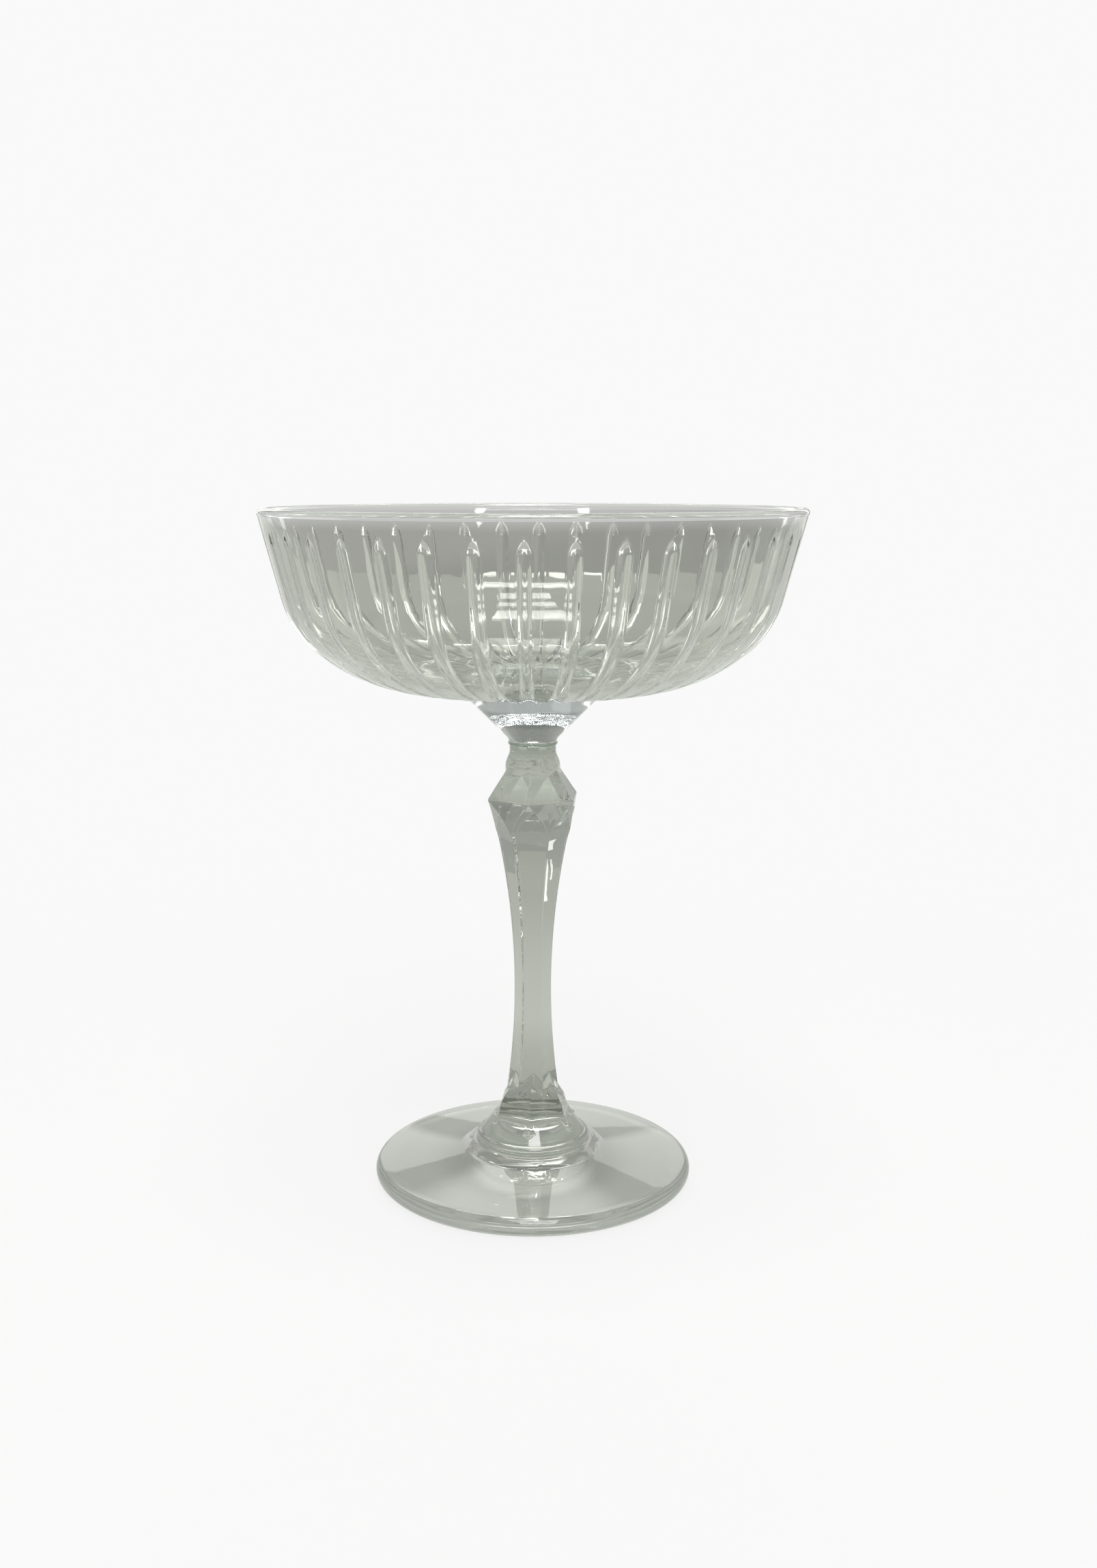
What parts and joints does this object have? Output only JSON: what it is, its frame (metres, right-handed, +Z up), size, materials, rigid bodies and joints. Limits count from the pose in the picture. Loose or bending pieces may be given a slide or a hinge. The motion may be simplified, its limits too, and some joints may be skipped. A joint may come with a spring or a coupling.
{
  "type": "coupe glass",
  "caption": "Shallow fluted glass bowl on a conical button and a slender six-sided stem with a ridged knop, standing on a low coned round foot; holds a short drink.",
  "frame": {"origin": "centre of the foot on the table that the glass stands on", "axes": "+Z up along the axis of the glass, -Y towards the viewer of the picture, +X to the viewer's right"},
  "size_m": [0.1089, 0.1088, 0.14],
  "materials": {
    "foot": "polished, tinted grey-green",
    "stem": "polished, tinted grey-green",
    "button": "polished, tinted grey-green",
    "bowl": "polished, tinted grey-green"
  },
  "bodies": {
    "root": {"foot": "foot", "stem": "stem", "button": "button", "bowl": "bowl"}
  },
  "joints": []
}
